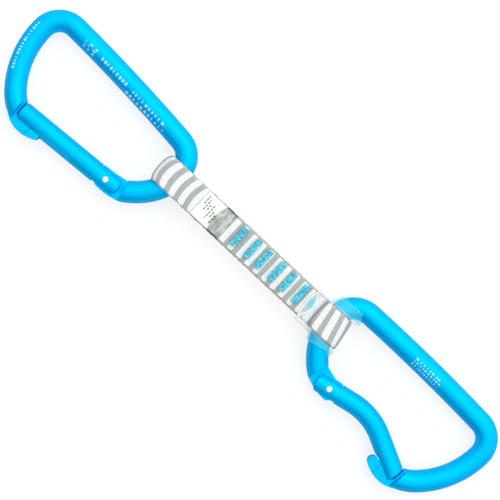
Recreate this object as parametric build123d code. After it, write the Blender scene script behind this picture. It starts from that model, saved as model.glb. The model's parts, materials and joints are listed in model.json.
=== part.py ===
from build123d import *
import os
from math import acos, asin, atan2, cos, degrees, hypot, radians, sin

# A climbing quickdraw lying flat: a short sewn sling between two D-shaped keylock carabiners.
# The same forged body carries a straight gate on the upper carabiner and a bent gate on the lower one.
#
# Object frame: X runs along the sling from the upper carabiner to the lower one, Y points to the side
# of both spines, and Z is up from the floor. The origin is the middle of the footprint on the floor.
# Carabiner frame: x points to the sling, y to the spine, z is square to the carabiner's flat side,
# and z = 0 is its middle plane. Lengths are in millimetres and angles in degrees.

# Carabiner body: the centreline of the round bar
BAR_R = 5.05
SEAT_X = 44.4
SEAT_LOW_Y = 5.0
SEAT_LENGTH = 4.5
SLING_CORNER_R = 11.0
FAR_CORNER_R = 10.6
SPINE_LENGTH = 69.4
SPINE_HALF_TURN = 2.2
FAR_BASKET_R = 42.0
FAR_BASKET_TURN = 43.0
FAR_CORNER_TURN = 89.8
NOSE_R = 22.0
NOSE_TURN = 28.0
SEAT_BEND_R = 16.0
SEAT_BEND_TURN = 25.0
SLING_BASKET_R = 32.0
SLING_BASKET_TURN = 27.0
SHOULDER_R = 12.0
SHOULDER_TURN = 30.0

# The axis that the carabiner swings about, a little inside the middle of its curved seat
SWING_X = 44.0

# Hinge
PIN_X = 24.2
PIN_Y = -16.2
RIVET_R = 1.4
RIVET_PROUD = 0.2
RIVET_PLAY = 0.05
TONGUE_THICK = 4.0
TONGUE_PLAY = 0.12
SHOULDER_GAP_R = 10.0
EAR_R = 6.7
FORK_R = 7.2

# Gates
GATE_R = 4.7
GATE_REACH = 49.3
GATE_EDGE_R = 0.8
OPENING = 38.0
STRAIGHT_ANGLE = 187.6
BENT_ROOT_ANGLE = 167.5
BENT_TURN = 37.5
BENT_R = 30.0
BENT_ROOT_LENGTH = 22.8
GRIP_HALF_LENGTH = 9.5
GRIP_DEPTH = 0.75
GRIP_FROM_PIN = 27.5
GRIP_LEAN = 38.0

# Keylock nose: a flat hook on the body that locks into a pocket in the gate
NOSE_FACE_R = 51.2
NOSE_SILL_R = 50.1
HOOK_THICK = 5.0
HOOK_PLAY = 0.3
BULB_X = -13.0
BULB_Y = -25.7
BULB_R = 2.5
NECK_ANGLE = 190.6
NECK_END_R = 54.0
CREASE_R = 0.35
CREASE_FROM_BULB = 3.1

# Gate spring and the follower that it pushes against the tongue's cam
BORE_R = 2.5
BORE_END = 22.0
TIP_R = 1.5
TIP_START = 6.3
CAM_RATE = 2.7
CAM_GAP = 0.1
FLANGE_START = 9.2
FLANGE_LENGTH = 2.2
FLANGE_R = 2.4
STEM_R = 1.1
STEM_LENGTH = 5.0
SPRING_R = 2.05
SPRING_WIRE_R = 0.28
SPRING_TURNS = 8

# Sling
WEB_THICK = 2.0
WEB_WIDTH = 14.4
EYE_R = 6.1
UPPER_SWING_X = -47.2
LOWER_SWING_X = 48.8
UPPER_FOLD_X = -56.0
LOWER_FOLD_X = 57.0
SEW_START_X = -17.0
SEW_END_X = 33.0
LAP_END_X = -19.9
BAR_PLAY = 0.2
TACK_COUNT = 6
TACK_START_X = -7.5
TACK_PAIR_PITCH = 14.75
TACK_PITCH = 8.0
TACK_LENGTH = 3.2
TACK_WIDTH = 10.0
TACK_Y = 0.7
TACK_PROUD = 0.4
LABEL_LENGTH = 11.2
LABEL_WIDTH = 13.6
LABEL_THICK = 0.4

# How each carabiner sits on the sling: turn about Z, and the bar's height in the eye
UPPER_YAW = -4.0
LOWER_YAW = -1.2
UPPER_SEAT_Y = 6.7
LOWER_SEAT_Y = 4.9

# Keeper: a clear moulding round the sling's lower end that grips the bar with two sleeves
KEEPER_WALL = 1.0
KEEPER_GAP = 0.1
BAND_START_X = 35.2
BAND_END_X = 40.8
SLEEVE_LENGTH = 6.0
SLEEVE_LOBE = 5.5
SLEEVE_LEAN = -13.0
ARM_THICK = 2.0
ARM_HALF_HEIGHT = 3.0

EYE_OUTER_R = EYE_R + WEB_THICK
BAR_Z = EYE_OUTER_R
FAR_BAR_X = SEAT_X - SLING_CORNER_R - SPINE_LENGTH - FAR_CORNER_R
TILT = degrees(asin((BAR_Z - BAR_R) / (SWING_X - FAR_BAR_X)))
FAR = 60.0


def direction(angle):
    """Unit vector in the carabiner's plane."""
    return Vector(cos(radians(angle)), sin(radians(angle)), 0)


def at_pin(shape):
    """Move a shape made about the origin to the gate's pin."""
    return Pos(PIN_X, PIN_Y, 0) * shape


def chain(start, tangent, steps):
    """A smooth run of lines (radius 0, length) and arcs (radius, turn)."""
    edges = []
    for radius, amount in steps:
        if radius == 0:
            edges.append(Line(start, start + tangent * amount))
        else:
            edges.append(JernArc(start=start, tangent=tangent, radius=radius, arc_size=amount))
        start = edges[-1] @ 1
        tangent = edges[-1] % 1
    return edges


def round_bar(edges, radius):
    """A round bar along a smooth run of edges, starting at the first edge's start."""
    path = Wire([part.edge() for part in edges])
    section = Plane(origin=edges[0] @ 0, z_dir=edges[0] % 0) * Circle(radius)
    return sweep(section, path=path)


def ring_sector(inner, outer, start, size, height):
    """A segment of a flat ring about the pin, centred on the middle plane."""
    outline = [
        CenterArc((0, 0), outer, start, size),
        CenterArc((0, 0), inner, start, size),
        Line(direction(start) * inner, direction(start) * outer),
        Line(direction(start + size) * inner, direction(start + size) * outer),
    ]
    return at_pin(extrude(make_face(outline), amount=height / 2, both=True))


def plate(outline, height):
    """A flat plate with the outline's shape, centred on the middle plane."""
    return extrude(make_face(outline), amount=height / 2, both=True)


def body_bar(radius):
    """The bent bar from the hinge shoulder round to the nose."""
    low = Vector(SEAT_X, SEAT_LOW_Y, 0)
    shoulder = chain(low, Vector(0, -1, 0), [
        (SEAT_BEND_R, -SEAT_BEND_TURN),
        (SLING_BASKET_R, -SLING_BASKET_TURN),
        (SHOULDER_R, -SHOULDER_TURN),
    ])
    spine_r = SPINE_LENGTH / 2 / sin(radians(SPINE_HALF_TURN))
    nose = chain(low, Vector(0, 1, 0), [
        (0, SEAT_LENGTH),
        (SLING_CORNER_R, 90 - SPINE_HALF_TURN),
        (spine_r, 2 * SPINE_HALF_TURN),
        (FAR_CORNER_R, FAR_CORNER_TURN),
        (FAR_BASKET_R, FAR_BASKET_TURN),
        (NOSE_R, NOSE_TURN),
    ])
    return round_bar(shoulder, radius) + round_bar(nose, radius)


def cam_points(bore_angle):
    """Points of the cam that moves the follower by CAM_RATE millimetres for each radian of opening."""
    points = []
    for step in range(7):
        opened = -4 + step * (OPENING + 8) / 6
        out = direction(bore_angle - opened)
        across = direction(bore_angle - opened + 90)
        centre_r = TIP_START + CAM_RATE * radians(opened)
        normal = (out * centre_r + across * CAM_RATE).normalized()
        points.append(out * centre_r - normal * (TIP_R + CAM_GAP))
    return points


def tongue(bore_angle):
    """The flat hinge tongue, with its cam edge facing the gate's bore."""
    cam = cam_points(bore_angle)
    top_root = Vector(9.4, 7.4, 0)
    top_front = Vector(0.2, 5.1, 0)
    heel = Vector(-3.6, -4.0, 0)
    heel_corner = Vector(-2.2, -5.1, 0)
    bottom_root = Vector(10.4, -2.6, 0)
    outline = [
        Line(top_root, top_front),
        Line(top_front, cam[-1]),
        Spline(cam),
        Line(cam[0], heel),
        Line(heel, heel_corner),
        ThreePointArc(heel_corner, (4.2, -4.6, 0), bottom_root),
        Line(bottom_root, top_root),
    ]
    return at_pin(plate(outline, TONGUE_THICK))


def hook():
    """The keylock hook: a neck tucked under the gate's outer side, a crease, and the bulb."""
    bulb = Vector(BULB_X, BULB_Y, 0)
    pin = Vector(PIN_X, PIN_Y, 0)
    inner_root = pin + direction(NECK_ANGLE) * NECK_END_R
    inner_tip = pin + direction(NECK_ANGLE) * (bulb - pin).length
    outer_root = Vector(-29.6, -26.9, 0)
    outer_tip = bulb + Vector(0.9, -2.33, 0)
    neck = [
        ThreePointArc(outer_root, (-20.4, -30.4, 0), outer_tip),
        Line(outer_tip, bulb),
        Line(bulb, inner_tip),
        Line(inner_tip, inner_root),
        Line(inner_root, outer_root),
    ]
    shape = plate(neck, HOOK_THICK) + Pos(bulb) * Cylinder(BULB_R, HOOK_THICK)
    crease = Rot(X=90) * Cylinder(CREASE_R, 4 * BULB_R)
    for side in (1, -1):
        shape -= Pos(BULB_X - CREASE_FROM_BULB, BULB_Y, side * HOOK_THICK / 2) * crease
    return shape


def body(bore_angle):
    """Forged body: bent bar, hinge tongue with its rivet hole, nose sill and keylock hook."""
    bar = body_bar(BAR_R)
    sill = bar & ring_sector(NOSE_SILL_R, NOSE_FACE_R + 1, 178, 40, HOOK_THICK)
    shape = bar - ring_sector(30, NOSE_FACE_R, 178, 40, 4 * BAR_R)
    shape -= at_pin(Cylinder(SHOULDER_GAP_R, 4 * BAR_R))
    shape += sill
    shape += tongue(bore_angle)
    shape += hook()
    return shape - at_pin(Cylinder(RIVET_R + RIVET_PLAY, 4 * BAR_R))


def keylock_pocket():
    """The room for the hook: a slot concentric with the pin, so that the gate swings clear."""
    bulb_r = hypot(BULB_X - PIN_X, BULB_Y - PIN_Y)
    bulb_angle = 360 + degrees(atan2(BULB_Y - PIN_Y, BULB_X - PIN_X))
    half_angle = degrees(asin((BULB_R + HOOK_PLAY) / bulb_r))
    thick = HOOK_THICK + 2 * HOOK_PLAY
    reach = BULB_R + HOOK_PLAY
    return ring_sector(bulb_r - reach, FAR, bulb_angle - half_angle, 20, thick)


def bore_frame(bore_angle):
    """The plane at the pin whose z axis runs down the gate's bore."""
    return Plane(origin=(PIN_X, PIN_Y, 0), x_dir=(0, 0, 1), z_dir=direction(bore_angle))


def rod(radius, start, end):
    """A cylinder on the bore's axis between two distances from the pin."""
    on_axis = (Align.CENTER, Align.CENTER, Align.MIN)
    return Pos(0, 0, start) * Cylinder(radius, end - start, align=on_axis)


def gate(edges, bore_angle):
    """A gate along its centreline: forked ears, spring bore, trimmed end and keylock pocket."""
    shape = round_bar(edges, GATE_R)
    shape -= ring_sector(GATE_REACH, GATE_REACH + 20, 170, 40, 4 * GATE_R)
    rim = [edge for edge in shape.edges() if (edge.center() - Vector(PIN_X, PIN_Y, 0)).length > GATE_REACH - 2]
    shape = fillet(rim, GATE_EDGE_R)
    shape -= ring_sector(EAR_R, EAR_R + 10, bore_angle + 90, 180, 4 * GATE_R)
    shape -= at_pin(Cylinder(FORK_R, TONGUE_THICK + 2 * TONGUE_PLAY))
    shape -= at_pin(Cylinder(RIVET_R, 4 * GATE_R))
    shape -= keylock_pocket()
    return shape - bore_frame(bore_angle) * rod(BORE_R, FORK_R - 1, BORE_END)


def straight_gate():
    """The upper carabiner's straight gate, with a thumb grip ground on its outer side."""
    along = direction(STRAIGHT_ANGLE)
    start = Vector(PIN_X, PIN_Y, 0) - along * (EAR_R + 1.5)
    shape = gate(chain(start, along, [(0, GATE_REACH + EAR_R + 6)]), STRAIGHT_ANGLE)
    grip_r = (GRIP_HALF_LENGTH**2 + GRIP_DEPTH**2) / (2 * GRIP_DEPTH)
    frame = Plane(origin=(PIN_X, PIN_Y, 0), x_dir=along, z_dir=(0, 0, 1))
    for side in (GRIP_LEAN, -GRIP_LEAN):
        away = GATE_R - GRIP_DEPTH + grip_r
        cutter = Pos(GRIP_FROM_PIN, away, 0) * Cylinder(grip_r, 3 * GATE_R)
        shape -= frame * (Rot(X=side) * cutter)
    return shape


def bent_gate():
    """The lower carabiner's bent gate, which dips so that a rope finds its way in."""
    along = direction(BENT_ROOT_ANGLE)
    start = Vector(PIN_X, PIN_Y, 0) - along * (EAR_R + 1.5)
    bend_tangent = BENT_R * sin(radians(BENT_TURN / 2)) / cos(radians(BENT_TURN / 2))
    edges = chain(start, along, [
        (0, EAR_R + 1.5 + BENT_ROOT_LENGTH - bend_tangent),
        (BENT_R, BENT_TURN),
        (0, GATE_REACH - BENT_ROOT_LENGTH - bend_tangent + 9),
    ])
    return gate(edges, BENT_ROOT_ANGLE)


def rivet():
    """The hinge pin, riveted over at both ears."""
    length = 2 * (GATE_R + RIVET_PROUD)
    pin = Cylinder(RIVET_R, length)
    return at_pin(fillet(pin.edges().filter_by(GeomType.CIRCLE), 0.3))


def follower(bore_angle):
    """The plunger between spring and cam: round tip, flange and spring stem."""
    flange_end = FLANGE_START + FLANGE_LENGTH
    shape = Pos(0, 0, TIP_START) * Sphere(TIP_R) + rod(TIP_R, TIP_START, FLANGE_START)
    shape += rod(FLANGE_R, FLANGE_START, flange_end) + rod(STEM_R, flange_end, flange_end + STEM_LENGTH)
    return bore_frame(bore_angle) * shape


def spring(bore_angle):
    """The gate's compression spring in the bore behind the follower."""
    start = FLANGE_START + FLANGE_LENGTH + SPRING_WIRE_R + 0.05
    height = BORE_END - SPRING_WIRE_R - 0.05 - start
    coil = Helix(pitch=height / SPRING_TURNS, height=height, radius=SPRING_R)
    section = Plane(origin=coil @ 0, z_dir=coil % 0) * Circle(SPRING_WIRE_R)
    return bore_frame(bore_angle) * (Pos(0, 0, start) * sweep(section, path=coil, is_frenet=True))


def tangent_point(centre, radius, point, side):
    """Where the line from a point touches a circle, on the chosen side."""
    away = point - centre
    angle = degrees(atan2(away.Y, away.X)) + side * degrees(acos(radius / away.length))
    return centre + direction(angle) * radius


def eye_face(centre, radius, top, bottom, side):
    """An eye's side view: two straight runs from the sewn part and a round fold between them."""
    upper = tangent_point(centre, radius, top, side)
    lower = tangent_point(centre, radius, bottom, -side)
    fold = centre - Vector(side * radius, 0, 0)
    outline = [
        Line(top, upper),
        ThreePointArc(upper, fold, lower),
        Line(lower, bottom),
        Line(bottom, top),
    ]
    return make_face(outline)


def across(face, half_width):
    """Extrude a side view, drawn in x and z, across the sling."""
    return extrude(Plane.XZ * face, amount=half_width, both=True)


UPPER_EYE = Vector(UPPER_FOLD_X + EYE_OUTER_R, BAR_Z, 0)
LOWER_EYE = Vector(LOWER_FOLD_X - EYE_OUTER_R, BAR_Z, 0)
SEW_LOW = Vector(0, BAR_Z - WEB_THICK, 0)
SEW_TOP = Vector(0, BAR_Z + WEB_THICK, 0)
LAP_TOP = Vector(0, BAR_Z + 2 * WEB_THICK, 0)


def lower_eye_face(grow):
    """The lower eye's outer side view, grown evenly by a clearance or a wall."""
    corner = Vector(SEW_END_X, 0, 0)
    up = Vector(0, grow, 0)
    return eye_face(LOWER_EYE, EYE_OUTER_R + grow, corner + LAP_TOP + up, corner + SEW_LOW - up, -1)


def eye_openings():
    """The two spaces that the bars pass through."""
    split = Vector(0, 0.1, 0)
    upper_tip = Vector(SEW_START_X - WEB_THICK, BAR_Z, 0)
    lower_tip = Vector(SEW_END_X + 1.2 * WEB_THICK, BAR_Z + WEB_THICK / 2, 0)
    upper = eye_face(UPPER_EYE, EYE_R, upper_tip + split, upper_tip - split, 1)
    lower = eye_face(LOWER_EYE, EYE_R, lower_tip + split, lower_tip - split, -1)
    return across(upper, WEB_WIDTH) + across(lower, WEB_WIDTH)


def bar_room():
    """The space that the curved bar sweeps when the carabiner swings, in the carabiner frame."""
    basket_turn = 12
    corner_turn = 62
    top = SEAT_LOW_Y + SEAT_LENGTH
    bend_centre = Vector(SEAT_X - SEAT_BEND_R, SEAT_LOW_Y, 0)
    bend = CenterArc(bend_centre, SEAT_BEND_R - BAR_R - BAR_PLAY, -SEAT_BEND_TURN, SEAT_BEND_TURN)
    basket_centre = bend_centre + direction(-SEAT_BEND_TURN) * (SEAT_BEND_R - SLING_BASKET_R)
    basket = CenterArc(basket_centre, SLING_BASKET_R - BAR_R - BAR_PLAY, -SEAT_BEND_TURN - basket_turn, basket_turn)
    corner_centre = Vector(SEAT_X - SLING_CORNER_R, top, 0)
    corner = CenterArc(corner_centre, SLING_CORNER_R - BAR_R - BAR_PLAY, 0, corner_turn)
    low_end = basket @ 0
    high_end = corner @ 1
    outline = [
        basket,
        bend,
        Line(bend @ 1, corner @ 0),
        corner,
        Line(high_end, (SWING_X, high_end.Y)),
        Line((SWING_X, high_end.Y), (SWING_X, low_end.Y)),
        Line((SWING_X, low_end.Y), low_end),
    ]
    inner_side = revolve(make_face(outline), axis=Axis((SWING_X, 0, 0), (0, 1, 0)))
    outer_r = SEAT_X + BAR_R + BAR_PLAY - SWING_X
    outer_side = Rot(X=90) * Cylinder(outer_r, high_end.Y - low_end.Y)
    return inner_side + Pos(SWING_X, (high_end.Y + low_end.Y) / 2, 0) * outer_side


def tacks():
    """The bar tacks in pairs along the lap: dense thread bundles through all the layers."""
    height = 3 * WEB_THICK + 2 * TACK_PROUD
    found = []
    for count in range(TACK_COUNT):
        x = TACK_START_X + (count // 2) * TACK_PAIR_PITCH + (count % 2) * TACK_PITCH
        block = Box(TACK_LENGTH, TACK_WIDTH, height)
        block = fillet(block.edges().filter_by(Axis.Z), 1.2)
        found.append(Pos(x, TACK_Y, BAR_Z + WEB_THICK) * block)
    return found


def webbing(upper_place, lower_place, stitches):
    """The sling: one strip looped round both bars, with its end lapped and sewn down on top."""
    corner = Vector(SEW_START_X, 0, 0)
    upper = eye_face(UPPER_EYE, EYE_OUTER_R, corner + SEW_TOP, corner + SEW_LOW, 1)
    lap_length = SEW_END_X - LAP_END_X
    lap = Pos(LAP_END_X, 0, BAR_Z - WEB_THICK) * Box(
        lap_length, WEB_WIDTH, 3 * WEB_THICK, align=(Align.MIN, Align.CENTER, Align.MIN)
    )
    shape = across(upper, WEB_WIDTH / 2) + across(lower_eye_face(0), WEB_WIDTH / 2) + lap
    shape -= eye_openings()
    shape -= upper_place * bar_room()
    shape -= lower_place * bar_room()
    for stitch in stitches:
        shape -= stitch
    return shape


def label():
    """The sewn-in label, which lies on the upper eye's top run against the end of the lap."""
    corner = Vector(SEW_START_X, 0, 0) + SEW_TOP
    touch = tangent_point(UPPER_EYE, EYE_OUTER_R, corner, 1)
    run = (touch - corner).normalized()
    start = corner + run * ((corner.X - LAP_END_X + 0.3) / -run.X)
    side = Plane(origin=(start.X, 0, start.Y), x_dir=(run.X, 0, run.Y), z_dir=(0, 1, 0))
    on_run = (Align.MIN, Align.MIN, Align.CENTER)
    return side * (Pos(0, 0.02, 0) * Box(LABEL_LENGTH, LABEL_THICK, LABEL_WIDTH, align=on_run))


def sleeve_slab(low_x, low_y, lean):
    """The slice of the carabiner frame that one keeper sleeve fills, leaning about its outer end."""
    outer_x = SEAT_X + BAR_R + KEEPER_WALL
    at_outer = (Align.MAX, Align.MIN, Align.CENTER)
    slab = Box(outer_x - low_x, SLEEVE_LENGTH, 30, align=at_outer)
    return Pos(outer_x, low_y, 0) * Rot(Z=lean) * slab


def keeper(place):
    """The clear keeper: a band round the webbing, two side arms and two sleeves on the bar."""
    half = WEB_WIDTH / 2 + KEEPER_GAP
    wall = KEEPER_GAP + KEEPER_WALL
    room = across(lower_eye_face(KEEPER_GAP), half)
    band_length = BAND_END_X - BAND_START_X
    band_slab = Pos((BAND_START_X + BAND_END_X) / 2, 0, BAR_Z) * Box(band_length, 40, 40)
    shape = across(lower_eye_face(wall), half + KEEPER_WALL) & band_slab
    arm_length = LOWER_SWING_X - BAND_START_X
    for side in (1, -1):
        arm_y = side * (half + ARM_THICK / 2)
        arm_x = (LOWER_SWING_X + BAND_START_X) / 2
        shape += Pos(arm_x, arm_y, BAR_Z) * Box(arm_length, ARM_THICK, 2 * ARM_HALF_HEIGHT)
    thick_bar = body_bar(BAR_R + KEEPER_WALL)
    lobe = Rot(X=90) * Cylinder(BAR_R - 0.2, SLEEVE_LENGTH)
    spine_side = (36.5, LOWER_SEAT_Y + half, 0)
    gate_side = (31.0, LOWER_SEAT_Y - half - SLEEVE_LENGTH, SLEEVE_LEAN)
    for low_x, low_y, lean in (spine_side, gate_side):
        sleeve = thick_bar & sleeve_slab(low_x, low_y, lean)
        sleeve += Pos(SEAT_X - SLEEVE_LOBE, low_y + SLEEVE_LENGTH / 2, 0) * lobe
        shape += place * sleeve
    return shape - room - place * body_bar(BAR_R + RIVET_PLAY)


def carabiner(name, place, bore_angle, closed_gate):
    """The nodes of one carabiner, in place on the sling."""
    parts = {
        "body": body(bore_angle),
        "gate": closed_gate,
        "hinge_rivet": rivet(),
        "spring_follower": follower(bore_angle),
        "gate_spring": spring(bore_angle),
    }
    return {f"{name}_{part}": place * shape for part, shape in parts.items()}


UPPER_PLACE = (
    Pos(UPPER_SWING_X, 0, BAR_Z) * Rot(Z=UPPER_YAW) * Rot(Y=-TILT) * Pos(-SWING_X, -UPPER_SEAT_Y, 0)
)
LOWER_PLACE = (
    Pos(LOWER_SWING_X, 0, BAR_Z) * Rot(Z=LOWER_YAW) * Rot(Y=180 + TILT) * Pos(-SWING_X, -LOWER_SEAT_Y, 0)
)


def quickdraw():
    """All the nodes, before the footprint is centred on the origin."""
    stitches = tacks()
    nodes = carabiner("upper", UPPER_PLACE, STRAIGHT_ANGLE, straight_gate())
    nodes.update(carabiner("lower", LOWER_PLACE, BENT_ROOT_ANGLE, bent_gate()))
    nodes["sling_webbing"] = webbing(UPPER_PLACE, LOWER_PLACE, stitches)
    for count, stitch in enumerate(stitches, start=1):
        nodes[f"bar_tack_{count}"] = stitch
    nodes["sling_label"] = label()
    nodes["keeper"] = keeper(LOWER_PLACE)
    return nodes


def centring(nodes):
    """The move that puts the middle of the footprint at the origin."""
    middle = Compound(children=[Compound([shape]) for shape in nodes.values()]).bounding_box().center()
    return Pos(-middle.X, -middle.Y, 0)


def main():
    os.makedirs("parts", exist_ok=True)
    nodes = quickdraw()
    move = centring(nodes)
    print("centring move", move.position)
    for name, shape in nodes.items():
        export_step(move * shape, f"parts/{name}.step")


if __name__ == "__main__":
    main()
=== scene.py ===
import json
import math

import bmesh
import bpy
from mathutils import Matrix, Vector
from mathutils.bvhtree import BVHTree


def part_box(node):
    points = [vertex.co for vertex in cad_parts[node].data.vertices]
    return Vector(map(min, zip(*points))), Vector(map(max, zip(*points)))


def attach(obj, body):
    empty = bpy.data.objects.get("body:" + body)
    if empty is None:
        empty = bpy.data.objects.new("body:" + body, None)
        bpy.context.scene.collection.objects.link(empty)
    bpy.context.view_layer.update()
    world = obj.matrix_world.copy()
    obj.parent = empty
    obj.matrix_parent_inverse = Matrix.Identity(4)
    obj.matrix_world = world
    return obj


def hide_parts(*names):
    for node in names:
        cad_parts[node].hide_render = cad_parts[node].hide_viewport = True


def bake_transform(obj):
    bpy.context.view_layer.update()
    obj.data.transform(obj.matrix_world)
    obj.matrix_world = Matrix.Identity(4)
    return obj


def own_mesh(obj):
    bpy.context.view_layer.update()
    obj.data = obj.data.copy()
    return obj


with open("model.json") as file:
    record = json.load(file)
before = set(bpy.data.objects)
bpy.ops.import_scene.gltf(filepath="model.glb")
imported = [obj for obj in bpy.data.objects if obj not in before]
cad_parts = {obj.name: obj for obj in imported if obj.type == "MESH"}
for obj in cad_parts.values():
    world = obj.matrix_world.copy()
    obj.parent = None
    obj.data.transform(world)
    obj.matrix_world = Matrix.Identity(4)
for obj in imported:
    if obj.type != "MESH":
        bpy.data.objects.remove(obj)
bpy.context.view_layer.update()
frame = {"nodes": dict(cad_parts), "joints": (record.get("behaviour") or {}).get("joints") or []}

# The looks of a climbing quickdraw: anodised carabiners, a banded sewn sling and a clear keeper.
# Lengths are in millimetres until the last step of each mesh. Sling coordinates have their origin
# between the two bars on the floor: x along the sling, y across it, z up.
MM = 0.001

# Sling: the layers, folds and sewn run of the CAD model, the lap's bowed end, and the label's place
WEB_THICK = 2.0
WEB_LAYER = 1.9
EYE_R = 6.1
BAR_Z = EYE_R + WEB_THICK
FOLD_UPPER = -56.0
FOLD_LOWER = 57.0
SEW_START = -17.0
SEW_END = 33.0
LAP_END = -19.9
HIDDEN_END = 31.0
LAP_BOW = 1.6
TACK_COUNT = 6
LABEL_X = (-31.0, -20.1)
LABEL_WIDTH = 13.6

# Printed bands: the place of one white band on each visible run and the distance between bands there, the
# white band's core with its rounded edge, and how many bands each run's print reaches past its known one
BAND_LAP_X = -12.4
BAND_LAP_PITCH = 5.15
BAND_EYE_X = -33.0
BAND_EYE_PITCH = 5.6
BAND_CORE_HALF = 0.55
BAND_CORE_WIDTH = 5.9
BAND_ROUND = (0.95, 0.70)
LAP_BANDS = 14
EYE_BANDS = 6

# Mesh of the strip: the distance between its sections, the steps across each face and selvedge, how
# far its faces crown and its lifted end slopes, and the room and least thickness at a swinging bar
STATION = 0.7
SMOOTH_PASSES = 6
FACE_STEPS = 22
SELVEDGE_STEPS = 6
CROWN = 0.12
LAP_SLOPE = 0.22
SWING_ROOM = 0.12
PRESSED_LAYER = 0.9
FLOOR_GAP = 0.02

# How the strip lies: dents at the tacks, the leaning folds, and the lap's fused end; a pair gives the
# places between which something fades in or out
TACK_DENT = 0.30
TACK_REACH = 2.4
TACK_SIDE = (6.6, 4.6)
UPPER_CORNER_LEAN = 1.5
UPPER_CORNER_RISE = (-47.0, -55.0)
LOWER_SLANT = 0.17
LOWER_SLANT_RISE = (40.0, 56.0)
FUSED_FADE = (6.3, 5.7)

# Label, as a sheet laid on the eye
LABEL_THICK = 0.30
LABEL_GAP = 0.14
LABEL_COLUMNS = 17
LABEL_ROWS = 21

# Bar tacks: satin stitches over padding, and how far their ends wander
THREAD_R = 0.24
PADDING_R = 0.30
PADDING_LANES = 6
STITCH_PITCH = 0.56
STITCH_STEPS = 6
STITCH_CROWN = 0.30
STITCH_DROP = 0.22
STITCH_DEPTH = 0.42
RAGGED_FIRST = 0.42
RAGGED = 0.18

# Keeper, in sling coordinates: its band with the webbing pressed under it, the clear window between two
# moulded rims, and the ribbed sleeve round the bar
KEEPER_VOXEL = 0.32
BAND_START = 35.2
BAND_END = 40.8
BAND_BOW = 1.6
BAND_PRESS = 1.3
PRESS_RISE = (33.5, 37.0)
PRESS_FALL = (43.2, 41.6)
BAND_SIDE = (7.9, 7.1)
BAND_FALL = (43.0, 41.5)
SLEEVE_SIDE = (7.9, 8.6)
WINDOW_DEPTH = 3.6
WINDOW_HALF = 7.4
RIB_PITCH = 2.3
SLEEVE_RISE = (41.3, 43.3)

# Carabiners: the swing axis and the sling seats in the CAD model, and the far basket's arc
SWING_X = 44.0
BASKET_CENTRE = (-3.8, 11.0)
BASKET_R = 44.5
UPPER_SEAT_Y = 6.7
LOWER_SEAT_Y = 4.9

# Studio and camera: lengths in metres, the turn in degrees, lens and sensor in millimetres
FLOOR_HALF = 3.0
SKY_WAY = Vector((0.05, 0.60, 0.80))
SKY_LOW = 0.10
SKY_HIGH = 1.42
SKY_DARK_SIDE = -0.35
SKY_BRIGHT_SIDE = 0.70
KEY_PLACE = (0.05, 0.90, 1.50)
KEY_SIZE = 1.2
KEY_POWER = 6.0
VIEW_TURN = 43.1
VIEW_WIDTH = 0.225
LENS = 120.0
SENSOR = 36.0

web_low, web_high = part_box("sling_webbing")
HALF_WIDTH = (web_high.y - web_low.y) / 2 / MM
MOVE = Vector((web_low.x / MM - FOLD_UPPER, (web_high.y + web_low.y) / 2 / MM, 0))
JOINTS = {joint["name"]: joint for joint in frame["joints"]}


# ---------------------------------------------------------------- frames and meshes

def to_object(point):
    """A point in sling coordinates, in metres in the object frame."""
    return (Vector(point) + MOVE) * MM


def carabiner_frame(name, sign):
    """The carabiner's own frame: x to the sling, y to the spine, origin on its swing axis."""
    swing = JOINTS[f"{name}_carabiner_swing"]
    y_axis = sign * Vector(swing["axis"])
    z_axis = -Vector(JOINTS[f"{name}_gate_hinge"]["axis"])
    x_axis = y_axis.cross(z_axis)
    turned = Matrix((x_axis, y_axis, z_axis)).transposed().to_4x4()
    return Matrix.Translation(Vector(swing["pos_m"])) @ turned


UPPER = carabiner_frame("upper", 1)
LOWER = carabiner_frame("lower", -1)


def new_object(name, mesh):
    """A smooth-shaded object for a finished mesh."""
    piece = bpy.data.objects.new(name, mesh)
    bpy.context.scene.collection.objects.link(piece)
    for polygon in mesh.polygons:
        polygon.use_smooth = True
    return piece


def mesh_piece(name, vertices, faces):
    """An object from sling-coordinate vertices and faces."""
    mesh = bpy.data.meshes.new(name)
    mesh.from_pydata([to_object(v) for v in vertices], [], faces)
    mesh.validate()
    mesh.update()
    return new_object(name, mesh)


def evaluated(piece):
    """Applies the piece's modifiers to its mesh."""
    graph = bpy.context.evaluated_depsgraph_get()
    mesh = bpy.data.meshes.new_from_object(piece.evaluated_get(graph))
    piece.modifiers.clear()
    piece.data = mesh
    for polygon in mesh.polygons:
        polygon.use_smooth = True
    return piece


def add_attribute(piece, name, values):
    """A number for each vertex, which the piece's material reads."""
    attribute = piece.data.attributes.new(name, "FLOAT", "POINT")
    attribute.data.foreach_set("value", values)


def grid_faces(rows, columns, closed):
    """Quads between rows of vertices; closed joins each row's end to its start."""
    faces = []
    for row in range(rows - 1):
        for column in range(columns if closed else columns - 1):
            after = (column + 1) % columns
            faces.append((
                row * columns + column,
                row * columns + after,
                (row + 1) * columns + after,
                (row + 1) * columns + column,
            ))
    return faces


def smooth_step(low, high, value):
    """0 before low, 1 after high, and smooth between."""
    share = min(1.0, max(0.0, (value - low) / (high - low)))
    return share * share * (3 - 2 * share)


# ---------------------------------------------------------------- materials

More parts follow.
